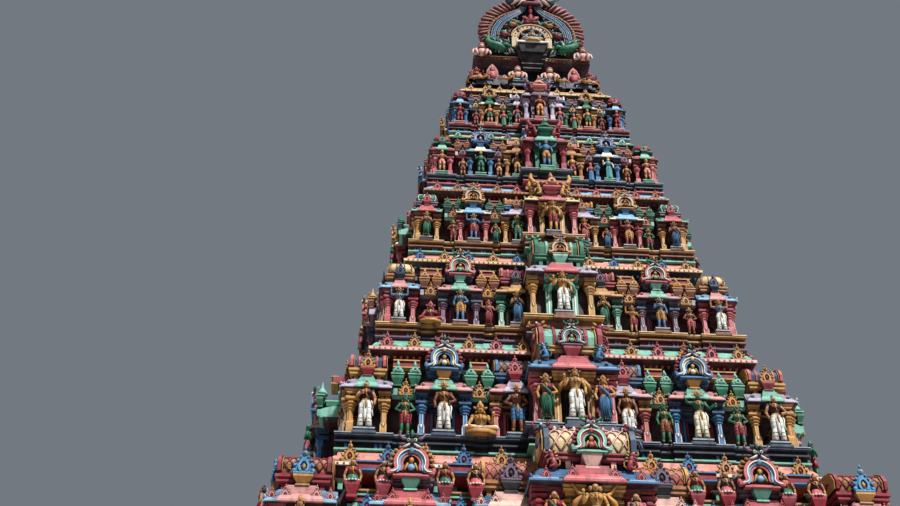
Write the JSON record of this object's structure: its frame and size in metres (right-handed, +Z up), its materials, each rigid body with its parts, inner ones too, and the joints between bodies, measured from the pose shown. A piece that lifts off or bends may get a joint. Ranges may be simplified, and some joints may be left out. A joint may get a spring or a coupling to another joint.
{
  "type": "gopuram",
  "caption": "Stepped South Indian temple gate tower: stone gate storey with a passage, painted pavilion storeys, barrel vault roof with horseshoe gables and finials.",
  "frame": {"origin": "middle of the footprint, on the ground", "axes": "+Z up; the narrow ends face -Y and +Y; the gate passage runs along X"},
  "size_m": [19.2, 26.4, 38],
  "materials": {
    "granite": "dressed, weathered",
    "stucco_wall": "painted lime stucco over brick",
    "stucco_ledge": "painted lime stucco over brick",
    "stucco_roof": "painted lime stucco over brick",
    "stucco_gable": "painted lime stucco over brick",
    "copper": "gilded copper, weathered"
  },
  "bodies": {
    "root": {"gate_plinth_near": "granite", "gate_wall_near": "granite", "gate_plinth_far": "granite", "gate_wall_far": "granite", "portal_right": "granite", "portal_left": "granite", "passage_ceiling": "granite", "floor_1": "stucco_ledge", "floor_2": "stucco_ledge", "floor_3": "stucco_ledge", "floor_4": "stucco_ledge", "floor_5": "stucco_ledge", "floor_6": "stucco_ledge", "floor_7": "stucco_ledge", "storey_1_near_end": "stucco_wall", "storey_1_far_end": "stucco_wall", "storey_1_right_side": "stucco_wall", "storey_1_left_side": "stucco_wall", "storey_2_near_end": "stucco_wall", "storey_2_far_end": "stucco_wall", "storey_2_right_side": "stucco_wall", "storey_2_left_side": "stucco_wall", "storey_3_near_end": "stucco_wall", "storey_3_far_end": "stucco_wall", "storey_3_right_side": "stucco_wall", "storey_3_left_side": "stucco_wall", "storey_4_near_end": "stucco_wall", "storey_4_far_end": "stucco_wall", "storey_4_right_side": "stucco_wall", "storey_4_left_side": "stucco_wall", "storey_5_near_end": "stucco_wall", "storey_5_far_end": "stucco_wall", "storey_5_right_side": "stucco_wall", "storey_5_left_side": "stucco_wall", "storey_6_near_end": "stucco_wall", "storey_6_far_end": "stucco_wall", "storey_6_right_side": "stucco_wall", "storey_6_left_side": "stucco_wall", "neck": "stucco_wall", "vault_ledge": "stucco_ledge", "vault": "stucco_roof", "gable_near": "stucco_gable", "gable_far": "stucco_gable", "ridge": "stucco_roof", "finial_1": "copper", "finial_2": "copper", "finial_3": "copper", "finial_4": "copper", "finial_5": "copper", "finial_6": "copper", "finial_7": "copper"}
  },
  "joints": []
}
